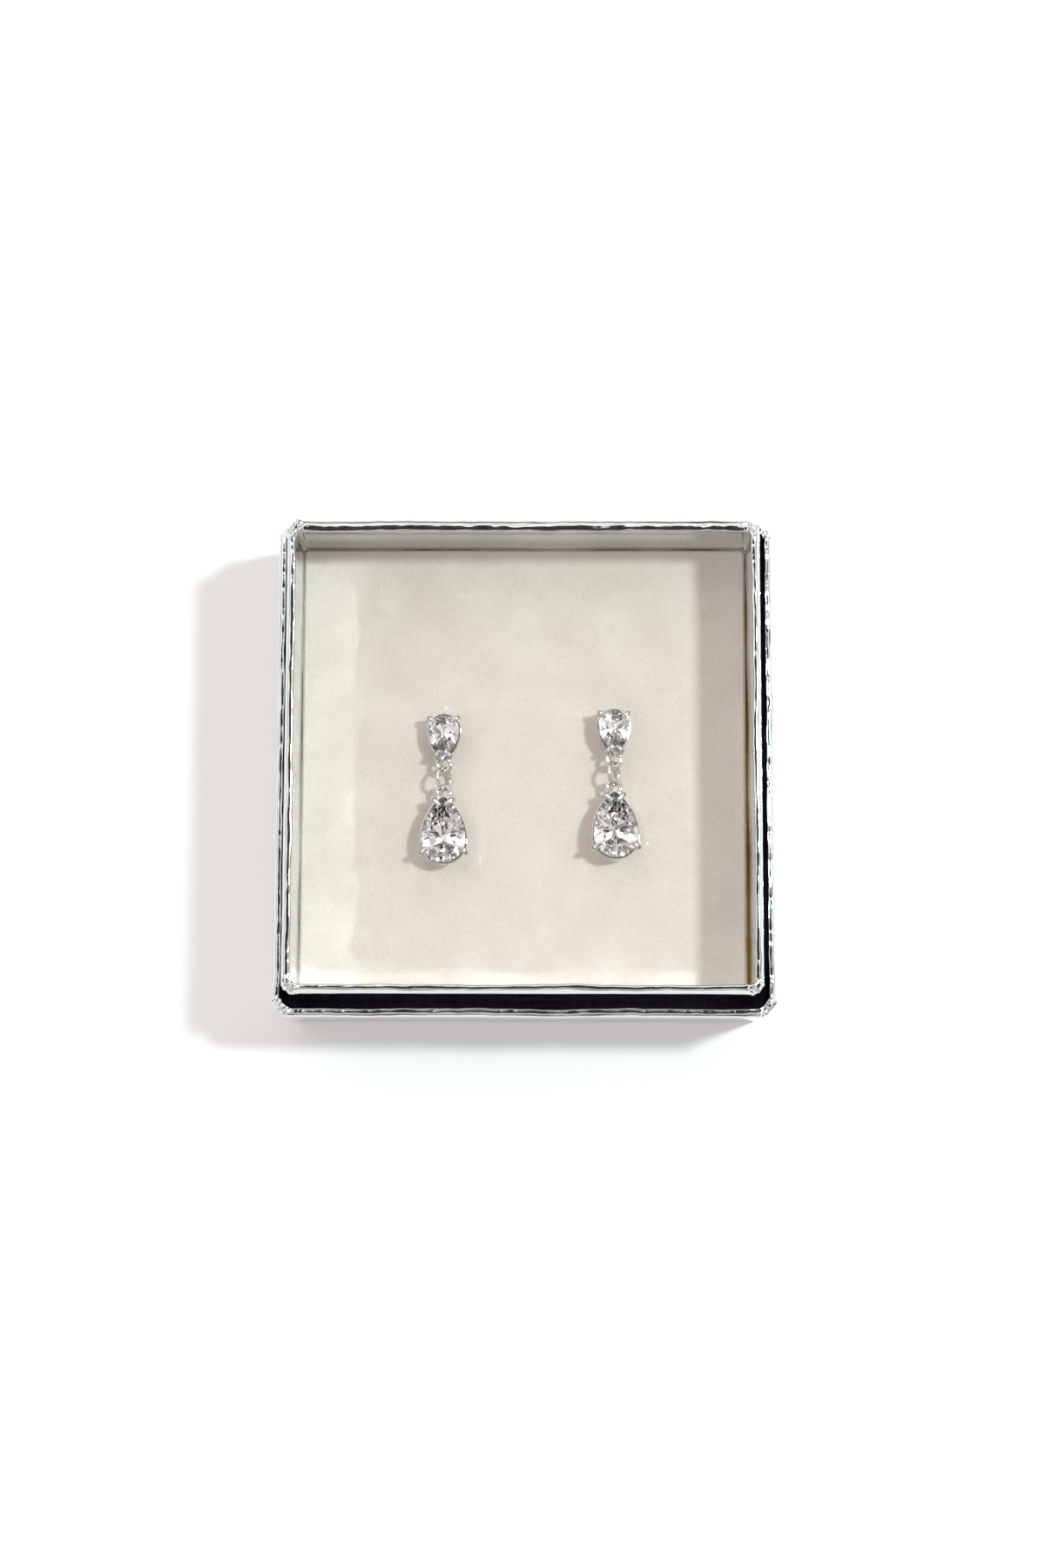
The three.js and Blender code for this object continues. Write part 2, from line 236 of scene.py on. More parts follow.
def metallisedPaper():
    # Silver metallised paper glued round grey board: a slightly wavy mirror, with long soft creases along
    # each edge, a paper grain that breaks up its highlights, and duller smudges where it was handled. The
    # grain is drawn several times as coarse as paper's, so that it shows.
    look = foilLook
    material, tree = emptyMaterial("metallisedPaper")
    place = addNode(tree, "ShaderNodeTexCoord")
    at = {"Vector": place.outputs["Object"]}
    stretch = (1 / (look["creaseLength"] * mm), 1 / (look["creaseWidth"] * mm), 1)
    along = addNode(tree, "ShaderNodeMapping", {"Scale": stretch}, {"Vector": place.outputs["UV"]})
    pattern = {"Scale": 1, "Detail": 3, "Roughness": 0.6, "Distortion": 0.4}
    crease = addNode(tree, "ShaderNodeTexNoise", pattern, {"Vector": along.outputs[0]})
    grain = addNode(tree, "ShaderNodeTexNoise", {"Scale": 1 / (look["grain"] * mm), "Detail": 2}, at)
    smudge = addNode(tree, "ShaderNodeTexNoise", {"Scale": 1 / (look["smudge"] * mm), "Detail": 4}, at)
    low, high = look["roughness"] - look["roughnessSpread"], look["roughness"] + look["roughnessSpread"]
    ends = {1: 0.3, 2: 0.7, 3: low, 4: high}
    dull = addNode(tree, "ShaderNodeMapRange", ends, {0: smudge.outputs["Fac"]})
    fold = addNode(tree, "ShaderNodeBump", {"Strength": 1, "Distance": look["creaseHeight"] * mm},
                   {"Height": crease.outputs["Fac"]})
    fine = addNode(tree, "ShaderNodeBump", {"Strength": 1, "Distance": look["grainHeight"] * mm},
                   {"Height": grain.outputs["Fac"], "Normal": fold.outputs[0]})
    finish = {"Base Color": hexToLinear(look["colour"]), "Metallic": 1}
    shader = addNode(tree, "ShaderNodeBsdfPrincipled", finish,
                     {"Roughness": dull.outputs[0], "Normal": fine.outputs[0]})
    finishMaterial(tree, shader)
    return material


flockLook = {
    "pile": "#DAD2C9", "pileDark": "#CEC4BA", "mottle": 9, "fibre": 0.42, "fibreHeight": 0.05,
    "sheen": 0.25, "sheenRoughness": 0.6,
}


def flockedCard():
    # Card sprayed with short upright nylon pile: matt and even, speckled by single fibres, a little blotchy
    # where the pile leans, with a soft pale sheen at low angles. The fibres are drawn several times as wide
    # as real ones, so that they show.
    look = flockLook
    material, tree = emptyMaterial("flockedCard")
    place = addNode(tree, "ShaderNodeTexCoord")
    at = {"Vector": place.outputs["Object"]}
    pattern = {"Scale": 1 / (look["mottle"] * mm), "Detail": 5, "Roughness": 0.6}
    mottle = addNode(tree, "ShaderNodeTexNoise", pattern, at)
    pattern = {"Scale": 1 / (look["fibre"] * mm), "Detail": 3, "Roughness": 0.7}
    fibre = addNode(tree, "ShaderNodeTexNoise", pattern, at)
    both = addNode(tree, "ShaderNodeMath", {"operation": "ADD"},
                   {0: mottle.outputs["Fac"], 1: fibre.outputs["Fac"]})
    share = addNode(tree, "ShaderNodeMapRange", {1: 0.75, 2: 1.25}, {0: both.outputs[0]})
    ends = {"data_type": "RGBA", 6: hexToLinear(look["pileDark"]), 7: hexToLinear(look["pile"])}
    colour = addNode(tree, "ShaderNodeMix", ends, {0: share.outputs[0]})
    bump = addNode(tree, "ShaderNodeBump", {"Strength": 1, "Distance": look["fibreHeight"] * mm},
                   {"Height": fibre.outputs["Fac"]})
    finish = {"Roughness": 1, "Specular IOR Level": 0.1, "Sheen Weight": look["sheen"],
              "Sheen Roughness": look["sheenRoughness"]}
    shader = addNode(tree, "ShaderNodeBsdfPrincipled", finish,
                     {"Base Color": colour.outputs[2], "Normal": bump.outputs[0]})
    finishMaterial(tree, shader)
    return material


boardLooks = {
    # the brown board's own colours, darkened and warmed as painted shade for the narrow gap by the tray's
    # wall
    "brownBoardAndGapShade": {"light": "#A98545", "dark": "#73552A", "layer": 0.35, "fleck": 1.2, "roughHeight": 0.06},
    # painted shade: the grey board's dark violet stands in for the shade in the gap between tray and lid
    "gapShadeBoard": {"light": "#5E546C", "dark": "#3A3442", "layer": 1.2, "fleck": 1.2, "roughHeight": 0.03},
}


def pulpBoard(name):
    # Bare recycled pulp board, brown at the pad's cut edge and dark violet-grey inside the lid: thin pressed
    # layers of flecked fibre, rough and quite without gloss. The brown is partly painted shade: it is
    # darkened and warmed for the narrow gap between the pad and the tray's wall. The violet-grey is painted
    # shade for the deep gap between the tray and its lid.
    look = boardLooks[name]
    material, tree = emptyMaterial(name)
    place = addNode(tree, "ShaderNodeTexCoord")
    flat = (1 / (look["fleck"] * mm), 1 / (look["fleck"] * mm), 1 / (look["layer"] * mm))
    pressed = addNode(tree, "ShaderNodeMapping", {"Scale": flat}, {"Vector": place.outputs["Object"]})
    pulp = addNode(tree, "ShaderNodeTexNoise", {"Scale": 1, "Detail": 4, "Roughness": 0.65},
                   {"Vector": pressed.outputs[0]})
    ends = {"data_type": "RGBA", 6: hexToLinear(look["dark"]), 7: hexToLinear(look["light"])}
    colour = addNode(tree, "ShaderNodeMix", ends, {0: pulp.outputs["Fac"]})
    bump = addNode(tree, "ShaderNodeBump", {"Strength": 1, "Distance": look["roughHeight"] * mm},
                   {"Height": pulp.outputs["Fac"]})
    shader = addNode(tree, "ShaderNodeBsdfPrincipled", {"Roughness": 0.95, "Specular IOR Level": 0.15},
                     {"Base Color": colour.outputs[2], "Normal": bump.outputs[0]})
    finishMaterial(tree, shader)
    return material


rhodiumLook = {"colour": "#DADAD8", "roughness": 0.05, "ripple": 1.1, "rippleHeight": 0.012}


def rhodiumPlatedBrass():
    # Cast brass, tumbled bright and plated with rhodium: a cool white mirror, with the faint ripple that
    # tumbling leaves on small castings.
    look = rhodiumLook
    material, tree = emptyMaterial("rhodiumPlatedBrass")
    place = addNode(tree, "ShaderNodeTexCoord")
    ripple = addNode(tree, "ShaderNodeTexNoise", {"Scale": 1 / (look["ripple"] * mm), "Detail": 2},
                     {"Vector": place.outputs["Object"]})
    ends = {1: 0.3, 2: 0.7, 3: look["roughness"] * 0.6, 4: look["roughness"] * 1.5}
    dull = addNode(tree, "ShaderNodeMapRange", ends, {0: ripple.outputs["Fac"]})
    bump = addNode(tree, "ShaderNodeBump", {"Strength": 1, "Distance": look["rippleHeight"] * mm},
                   {"Height": ripple.outputs["Fac"]})
    finish = {"Base Color": hexToLinear(look["colour"]), "Metallic": 1}
    shader = addNode(tree, "ShaderNodeBsdfPrincipled", finish,
                     {"Roughness": dull.outputs[0], "Normal": bump.outputs[0]})
    finishMaterial(tree, shader)
    return material


zirconiaLook = {"colour": "#FFFFFF", "index": 2.16, "roughness": 0.0}


def cutZirconia():
    # Cubic zirconia, cut and polished on a lap: clear and colourless, with so high an index that its back
    # facets turn most of the light round, in hard white and grey flashes.
    look = zirconiaLook
    material, tree = emptyMaterial("cutZirconia")
    finish = {"Base Color": hexToLinear(look["colour"]), "Roughness": look["roughness"],
              "IOR": look["index"], "Transmission Weight": 1}
    finishMaterial(tree, addNode(tree, "ShaderNodeBsdfPrincipled", finish))
    return material


foil, flock = metallisedPaper(), flockedCard()
brownBoardAndGapShade, gapShadeBoard = pulpBoard("brownBoardAndGapShade"), pulpBoard("gapShadeBoard")
rhodium, zirconia = rhodiumPlatedBrass(), cutZirconia()
print("materials made")


boxShape = {
    "lid": {"wall": 1.5, "chamfer": 2.6, "seed": 11, "crinkle": 0.06,
            "slackSide": -1, "slackOuter": 0.8, "slackInner": 0.4},
    "tray": {"wall": 1.65, "chamfer": 1.7, "seed": 23, "crinkle": 0.035,
             "slackSide": 1, "slackOuter": 1.0, "slackInner": -0.4},
    "samplesAlong": 200, "samplesRound": 22, "crowding": 1.32, "bulge": 1.15, "leastChamfer": 0.15,
    "floorEdge": 0.6, "shoulder": 0.75, "softness": 16, "flat": 0.26, "flatSpread": 14, "headroom": 0.05,
    "wander": 0.13, "sag": 0.05, "leftLean": 0.4, "slackDepth": 2.2, "rimDepth": 1.2, "shadedBareFoot": 6,
    "streaks": [{"width": 1.3, "height": 0.02}, {"width": 0.55, "height": 0.007}], "streakDepth": 1.5,
    "crinkleAt": 0.75, "crinkleLine": 0.25, "crumple": 0.6, "crumpleReach": 1.7, "crumpleDepth": 3.0,
}


def waves(along, seed, longest, shortest, count=14):
    # A sum of sines that closes on itself: each has a whole number of waves round the loop, and a height
    # that falls with its number. It spans about -1 to 1.
    random = np.random.default_rng(seed)
    loop = along[-1] + (along[-1] - along[-2])
    numbers = np.unique(np.geomspace(loop / longest, loop / shortest, count).astype(int) + 1)
    total = np.zeros_like(along)
    for number in numbers:
        height = (numbers[0] / number) ** 0.5
        total += height * np.sin(2 * np.pi * (number * along / loop + random.random()))
    return total / (0.9 * math.sqrt(len(numbers)))


def crumpled(points, seed, longest=1.6, shortest=0.6, count=7):
    # A sum of triangle waves that cross the foil in random directions: flat facets between sharp creases
    random = np.random.default_rng(seed)
    total = np.zeros(points.shape[:-1])
    for step in np.geomspace(longest, shortest, count):
        direction = random.normal(size=3)
        phase = points @ (direction / np.linalg.norm(direction)) / step + random.random()
        total += (4 * np.abs(phase - np.floor(phase) - 0.5) - 1) * step / longest
    return total / math.sqrt(count)


def squareLoops(half, chamfer):
    # Square outlines of half-sides half, each a row: one side and one cut corner, turned four times. The
    # samples crowd towards the corners by a sine, and a corner follows |x|^bulge + |y|^bulge = 1, which is
    # a straight cut at 1 and round at 2.
    shape = boxShape
    share = np.sin(np.linspace(-1, 1, shape["samplesAlong"], endpoint=False) * shape["crowding"])
    share = share / math.sin(shape["crowding"])
    turn = np.linspace(0, math.pi / 2, shape["samplesRound"], endpoint=False)
    power = 2 / shape["bulge"]
    straight = (half - chamfer)[:, None]
    x = np.hstack([half[:, None] + 0 * share, straight + chamfer[:, None] * np.cos(turn) ** power])
    y = np.hstack([straight * share, straight + chamfer[:, None] * np.sin(turn) ** power])
    quarters = [(x, y), (-y, x), (-x, -y), (y, -x)]
    return np.hstack([q[0] for q in quarters]), np.hstack([q[1] for q in quarters])


def arc(count, start, end):
    return np.radians(np.linspace(start, end, count))


def openBoxProfile(half, wall, low, high):
    # The section of an open box from the middle of its underside, out and up, over the rim and down to the
    # middle of its floor, as rows of inset from the outline and height. The rim is drawn by its slope: its
    # radius is even, grows as exp(-slope / softness) into a soft shoulder on the outer wall, and has a bell
    # at the level slope that flattens its top.
    shape = boxShape
    edge, middle = shape["floorEdge"], half - 0.3
    soft, spread = math.radians(shape["softness"]), math.radians(shape["flatSpread"])
    slope = math.pi * np.linspace(0, 1, 46) ** 1.5
    between, turn = (slope[1:] + slope[:-1]) / 2, np.diff(slope)
    even = (wall - shape["shoulder"] - shape["flat"]) / 2
    radius = even + shape["shoulder"] / soft ** 2 * np.exp(-between / soft)
    bell = np.exp(-((between - math.pi / 2) / spread) ** 2)
    radius = radius + shape["flat"] / (spread * math.sqrt(math.pi)) * bell
    across = np.append(0, np.cumsum(radius * np.sin(between) * turn))
    rise = np.append(0, np.cumsum(radius * np.cos(between) * turn))
    across *= wall / across[-1]
    rise += high - rise.max()

    bottom = arc(5, 0, 90)
    outerFoot, innerFoot = low + edge, low + wall + edge
    climb = outerFoot + (rise[0] - outerFoot) * np.linspace(0, 1, 12)[1:-1] ** 0.6
    fall = innerFoot + (rise[-1] - innerFoot) * np.linspace(1, 0, 14)[1:-1] ** 0.6
    inset = [[middle, middle * 0.5, 6, 2], edge - edge * np.sin(bottom), 0 * climb, across]
    inset += [wall + 0 * fall, wall + edge - edge * np.cos(bottom)]
    inset += [[wall + 2, wall + 6, middle * 0.5, middle]]
    height = [[low] * 4, low + edge - edge * np.cos(bottom), climb, rise]
    height += [fall, innerFoot - edge * np.sin(bottom), [low + wall] * 4]
    return np.hstack(inset), np.hstack(height)


def gridNormals(points):  # unit normals of a grid that is closed along its rows
    along = np.roll(points, -1, 1) - np.roll(points, 1, 1)
    across = np.gradient(points, axis=0)
    normal = np.cross(along, across)
    return normal / np.maximum(np.linalg.norm(normal, axis=-1, keepdims=True), 1e-9)


def smoothSheet(name):
    # The foil before it is creased, as a grid whose rows go round the box and whose columns follow the
    # section. along and across are lengths on the foil, depth is the fall from the rim, near is 1 on the
    # rim and fades down the walls, and corner is 1 at a corner's edge and fades away from it.
    shape, own = boxShape, boxShape[name]
    low, high = [np.array(corner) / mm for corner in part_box(name)]
    half = (high[0] - low[0]) / 2
    inset, height = openBoxProfile(half, own["wall"], low[2], high[2] - shape["headroom"])
    chamfer = np.maximum(own["chamfer"] - inset * (2 - math.sqrt(2)), shape["leastChamfer"])
    x, y = squareLoops(half - inset, chamfer)
    points = np.stack([x, y, np.broadcast_to(height[:, None], x.shape)], -1)
    rim = np.argmax(height)
    step = np.linalg.norm(np.roll(points[rim], -1, 0) - points[rim], axis=-1)
    rows = np.hypot(np.diff(inset, prepend=inset[0]), np.diff(height, prepend=height[0]))
    depth = high[2] - height[:, None]
    edge = half - own["chamfer"] / 2
    toCorner = np.hypot(edge - np.abs(x), edge - np.abs(y))
    return {
        "low": low, "high": high, "half": half, "points": points, "x": x, "y": y, "rim": rim,
        "inset": inset[:, None], "height": height, "along": np.cumsum(step) - step, "lastStep": step[-1],
        "across": np.cumsum(rows), "depth": depth, "near": np.exp(-(depth / shape["streakDepth"]) ** 2),
        "corner": np.exp(-(toCorner / shape["crumpleReach"]) ** 2),
    }


def slackWalls(sheet, own):
    # The walls' slow shape. Their rims wander in and out and up and down, and the left walls lean out. The
    # foil is slack over the tray's back rim and the lid's front rim: it stands farther out there by
    # slackOuter at the rim's outer edge and by slackInner at its inner edge, fading down the wall. Each side
    # comes in from 0 at 0.9 of the half side to 1 close to its wall.
    shape = boxShape
    x, y, depth, near, half = [sheet[key] for key in ("x", "y", "depth", "near", "half")]
    sway = waves(sheet["along"], own["seed"], 45, 3)
    lift = waves(sheet["along"], own["seed"] + 1, 40, 5)
    outwardX = np.sign(x) * (np.abs(x) >= np.abs(y))
    outwardY = np.sign(y) * (np.abs(y) > np.abs(x))
    outward = np.stack([outwardX, outwardY, 0 * x], -1)
    points = sheet["points"] + outward * (near * shape["wander"] * sway[None, :])[..., None]
    leftward = np.clip(-x / half * 12 - 10.8, 0, 1)
    points[..., 0] -= shape["leftLean"] * (1 - depth / (sheet["high"][2] - sheet["low"][2])) * leftward
    slack = np.exp(-(depth / shape["slackDepth"]) ** 2) * (sheet["inset"] < 6)
    facing = np.clip(own["slackSide"] * y / half * 12 - 10.8, 0, 1)
    inwards = np.clip(sheet["inset"] / own["wall"], 0, 1)
    widen = own["slackOuter"] + (own["slackInner"] - own["slackOuter"]) * inwards
    points[..., 1] += own["slackSide"] * widen * slack * facing
    points[..., 2] -= near * shape["wander"] * 0.5 * (1 + lift[None, :]) * (depth < shape["rimDepth"])
    return points


def creased(sheet, own, points):
    # Pushes the foil along its normals: long streaks beside the rim, height sin(2 pi across / width) with
    # a slow bend; a crinkled line where it is folded in; sagging walls; and crumpled corners.
    shape, seed, along = boxShape, own["seed"], sheet["along"]
    inset, depth, near, corner = [sheet[key] for key in ("inset", "depth", "near", "corner")]
    low, high = sheet["low"], sheet["high"]
    streaks = np.zeros_like(sheet["x"])
    for i, streak in enumerate(shape["streaks"]):
        bend = 1.2 * waves(along, seed + 2 + i, 40, 9)[None, :]
        across = 2 * np.pi * sheet["across"][:, None] / streak["width"]
        streaks += streak["height"] * np.sin(across + bend)
    fold = np.exp(-((inset - shape["crinkleAt"] * own["wall"]) / shape["crinkleLine"]) ** 2)
    fold = fold * (depth < shape["rimDepth"])
    streaks += own["crinkle"] * fold * waves(along, seed + 6, 6, 0.8, 12)[None, :]
    belly = np.sin(np.clip((sheet["height"] - low[2]) / (high[2] - low[2]), 0, 1) * math.pi)[:, None]
    push = near * streaks * (1 - 0.6 * corner)
    push += shape["sag"] * belly * waves(along, seed + 9, 60, 18)[None, :] * (depth > 1)
    fade = 0.2 + 0.8 * np.exp(-depth / shape["crumpleDepth"])
    push += shape["crumple"] * corner * fade * crumpled(points, seed + 20)
    inside = inset < own["wall"] + 1.5
    return points + gridNormals(points) * (push * inside)[..., None]


def buildBox(name):
    own, sheet = boxShape[name], smoothSheet(name)
    low, high, along, across = [sheet[key] for key in ("low", "high", "along", "across")]
    middle = (low + high) / 2
    points = creased(sheet, own, slackWalls(sheet, own))
    points[..., 2] = np.clip(points[..., 2], low[2], high[2])
    points += np.array([middle[0], middle[1], 0])

    count, columns = sheet["x"].shape
    poles = np.array([[middle[0], middle[1], low[2]], [middle[0], middle[1], low[2] + own["wall"]]])
    quads = [gridQuads(count, columns), fanQuads(np.arange(columns)[::-1], count * columns)]
    quads.append(fanQuads(np.arange(columns) + (count - 1) * columns, count * columns + 1))
    quads = np.vstack(quads)
    every = np.vstack([points.reshape(-1, 3), poles])
    u = np.append(np.tile(along, count), [0, 0])[quads]
    v = np.append(np.repeat(across, columns), [across[0], across[-1]])[quads]
    wraps = (u == 0) & (u.max(1, keepdims=True) > along[-1] / 2)
    u = np.where(wraps, along[-1] + sheet["lastStep"], u)

    # the foil is turned in over the rim and stops short of the floor, which is bare board drawn dark
    # violet-grey as painted shade for the deep gap between the tray and its lid
    height, shadedBareBelow = sheet["height"], low[2] + own["wall"] + boxShape["shadedBareFoot"]
    row = np.append(np.repeat(np.arange(count - 1), columns), np.repeat([0, count - 1], columns))
    shadedBare = (row > sheet["rim"]) & (height[np.minimum(row + 1, count - 1)] < shadedBareBelow)
    uv = np.stack([u, v], -1)
    return makePiece(name + "_foil", every, quads, [foil, gapShadeBoard], name, uv, shadedBare)


for name in ("lid", "tray"):
    piece = buildBox(name)
    print(name, "covered in foil:", len(piece.data.polygons), "faces")


padShape = {
    "corner": 0.6, "edge": 0.18, "columns": 250, "rows": 230, "pileTop": 0.14,
    "swell": 0.05, "swells": [(31, 27), (17, 21), (9, 11)],
    "gather": 0.9, "gatherArea": 0.8, "postAhead": 1.3,
    "wobble": 0.07, "pileHeight": 0.35, "boardGap": 0.03, "footGap": 0.2, "underside": 0.06,
    # from the pile's edge to an upright tray wall; the left wall leans out, so the pad reaches past that
    "margins": {"left": -0.1, "right": 0.16, "front": 0.07, "back": 0.07},
    "taper": 0.3,  # the pad was cut askew, so its right margin is wider by this at the front
    "slits": [
        {"x": -26.2, "y": 31.5, "length": 6.6, "lean": 15, "lip": 0.4},
        {"x": 25.1, "y": 32.3, "length": 8.6, "lean": -9, "lip": 0.1},
    ],
    "lipFront": 0.15, "lipBack": 2.5, "slitCrowding": {"width": 1.2, "strength": 7},
}


def crowded(count, half, centres, width, strength):
    # Places from -half to half that lie closer together round each centre: the inverse of the running sum
    # of 1 plus a bell at each centre.
    fine = np.linspace(-half, half, 20001)
    density = 1 + sum(strength * np.exp(-((fine - centre) / width) ** 2) for centre in centres)
    total = np.cumsum(density)
    total = (total - total[0]) / (total[-1] - total[0])
    return np.interp(np.linspace(0, 1, count), total, fine)


def pileSurface(middle, half, top):
    # The pile's top as a grid round the pad's middle: z is the sum of the slits' lips, a few slow sines
    # and a dip at each post. The columns by each slit lean with it, and its left lip is pushed up, with a
    # steep front and a long back.
    shape = padShape
    centres = [s["x"] - middle[0] for s in shape["slits"]]
    places = crowded(shape["columns"], half[0], centres, **shape["slitCrowding"])
    x, y = np.meshgrid(places, np.linspace(-1, 1, shape["rows"]) * half[1])
    z = np.zeros_like(x)
    for s, centre in zip(shape["slits"], centres):
        ahead = y - (s["y"] - middle[1])
        lean = math.tan(math.radians(s["lean"]))
        hold = np.exp(-((x - centre) / 4) ** 4 - (ahead / 9) ** 4)
        x = x - ahead * lean * hold
        aside = x - centre + ahead * lean
        ends = np.clip((s["length"] / 2 - np.abs(ahead)) / 1.2, 0, 1)
        reach = np.where(aside < 0, shape["lipBack"], shape["lipFront"])
        z += s["lip"] * ends * np.exp(-(aside / reach) ** 2)
    for k, (wide, deep) in enumerate(shape["swells"]):
        swell = np.sin(2 * np.pi * x / wide + k) * np.cos(2 * np.pi * y / deep + 2 * k)
        z += shape["swell"] / (k + 1) * swell
    for side in ("left", "right"):
        a, b = [np.array(corner)[:2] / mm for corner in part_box("stud_stone_" + side)]
        at = (a + b) / 2 - middle + [0, shape["postAhead"]]
        away = (x - at[0]) ** 2 + (y - at[1]) ** 2
        z -= shape["gather"] * np.exp(-away / shape["gatherArea"])
    return x, y, top - shape["pileTop"] + z


def roundedPlan(x, y, half):
    # The four corner squares become quarter discs, by x = x sqrt(1 - y^2 / 2) and y = y sqrt(1 - x^2 / 2)
    # in units of the corner's radius; core is the half-size of the rectangle of the corners' centres.
    r = padShape["corner"] - padShape["edge"]
    core = half - r
    cx = np.clip((np.abs(x) - core[0]) / r, 0, 1)
    cy = np.clip((np.abs(y) - core[1]) / r, 0, 1)
    x = np.sign(x) * (np.minimum(np.abs(x), core[0]) + r * cx * np.sqrt(1 - cy ** 2 / 2))
    y = np.sign(y) * (np.minimum(np.abs(y), core[1]) + r * cy * np.sqrt(1 - cx ** 2 / 2))
    return x, y, core


def padSkirt(ring, wider, core, depth):
    # The border runs on outwards, away from the rectangle of corner centres: first the pile's rounded edge,
    # then a ledge of bare board that reaches almost to the tray's wall, then the board's side. Rows of
    # points, one below or outside the other; wider is what the taper adds to the right margin.
    shape, margins = padShape, padShape["margins"]
    straight = ring[:, :2] + np.stack([wider, 0 * wider], 1)
    out = straight - np.clip(straight, -core, core)
    out = out / np.linalg.norm(out, axis=1, keepdims=True)
    sideways = np.where(out[:, 0] > 0, margins["right"], margins["left"])
    lengthways = np.where(out[:, 1] > 0, margins["back"], margins["front"])
    margin = out[:, 0] ** 2 * (sideways + wider) + out[:, 1] ** 2 * lengthways
    steps = np.linalg.norm(np.roll(ring, -1, 0) - ring, axis=1)
    along = np.cumsum(steps) - steps
    rough = shape["wobble"] * (0.5 + margin) * waves(along, 5, 25, 1.2, 22)
    turn, edge, deep = arc(6, 0, 90)[1:], shape["edge"], shape["pileHeight"]
    ledge = (margin - shape["boardGap"] - np.abs(rough) * 0.4)[None, :]
    pile = edge * np.sin(turn)[:, None] + rough * np.linspace(0.2, 1, 5)[:, None]
    outset = np.vstack([pile, pile[-1:], edge + ledge * np.array([[0.5], [1], [1], [1], [0.9]])])
    drop = np.hstack([edge * (1 - np.cos(turn)), [deep, deep + 0.04, deep + 0.08, 1.2, depth / 2, depth]])
    skirt = np.zeros((len(drop), len(ring), 3))
    skirt[..., :2] = ring[None, :, :2] + out * outset[..., None]
    skirt[..., 2] = ring[None, :, 2] - drop[:, None]
    return skirt


def buildPad():
    shape, margins = padShape, padShape["margins"]
    low, high = [np.array(corner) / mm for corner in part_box("pad")]
    trayLow, trayHigh = [np.array(corner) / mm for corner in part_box("tray")]
    wall = boxShape["tray"]["wall"]
    start = trayLow[:2] + wall + [margins["left"], margins["front"]]
    end = trayHigh[:2] - wall - [margins["right"], margins["back"]]
    middle, half = (start + end) / 2, (end - start) / 2 - shape["edge"]
    x, y, z = pileSurface(middle, half, high[2])
    x, y, core = roundedPlan(x, y, half)
    skew = shape["taper"] * (1 - y / half[1]) / 2
    x = x - skew * (1 + x / half[0]) / 2

    rows, columns = x.shape
    index = np.arange(rows * columns).reshape(rows, columns)
    border = np.hstack([index[0, :-1], index[:-1, -1], index[-1, :0:-1], index[:0:-1, 0]])
    top = np.stack([x.ravel(), y.ravel(), z.ravel()], 1)
    ring = top[border]
    wider = skew.ravel()[border] * (ring[:, 0] > 0)
    skirt = padSkirt(ring, wider, core, high[2] - low[2] - shape["footGap"])
    levels, around = skirt.shape[:2]
    first = len(top)
    pole = first + levels * around
    outer = first + np.arange(around)
    join = np.stack([np.roll(outer, -1), outer, border, np.roll(border, -1)], 1)
    down = gridQuads(levels, around, first)[:, ::-1]
    under = np.roll(fanQuads(np.arange(around) + pole - around, pole)[:, ::-1], -2, axis=1)
    quads = np.vstack([gridQuads(rows, columns, closedColumns=False), join, down, under])
    # the ledge and side take the brown board, which is partly painted shade for the narrow gap by the tray's
    # wall
    shadedBare = np.repeat(np.arange(levels - 1) >= 5, around)
    kinds = np.hstack([np.zeros(len(quads) - len(shadedBare) - around), shadedBare, np.ones(around)])
    every = np.vstack([top, skirt.reshape(-1, 3), [[0, 0, low[2] + shape["underside"]]]])
    every = every + np.array([*middle, 0])
    return makePiece("pad_flock", every, quads, [flock, brownBoardAndGapShade], "pad", None, kinds)


pad = buildPad()
print("pad flocked:", len(pad.data.polygons), "faces")


settingShape = {
    "stud": {"band": 1.15, "claw": 0.5, "tip": 0.36, "reach": 0.62, "roundClaw": 51, "eyeOut": 1.0,
             "eyeZ": 2.0, "girdle": 3.1},
    "drop": {"band": 1.5, "claw": 0.55, "tip": 0.4, "reach": 0.72, "roundClaw": 60, "eyeOut": 0.9,
             "eyeZ": 2.35, "girdle": 3.6},
    "wingClaw": 44, "outside": 0.36, "inside": -0.12, "belowGirdle": 0.3, "rounding": 0.13,
    "railScale": 0.5, "railWidth": 0.5, "railHeight": 0.6, "eyeRadius": 1.22, "eyeWire": 0.44,
    "barHeight": 0.3, "barRadii": [0.5, 0.55, 0.5], "barFlatten": 0.5, "postRadius": 0.4,
    "crown": 0.29, "table": 0.57, "voxel": 0.075, "smoothing": 4,
}

# down the ear post: height from the setting's underside, and the share of postRadius; the groove is where
# an ear nut clicks in
postMarks = [
    {"z": 0.2, "share": 1.5}, {"z": -0.3, "share": 1},
    {"z": -7.2, "share": 1}, {"z": -7.5, "share": 0.8}, {"z": -8.1, "share": 0.8}, {"z": -8.4, "share": 1},
    {"z": -9, "share": 1}, {"z": -9.3, "share": 0.75},
]


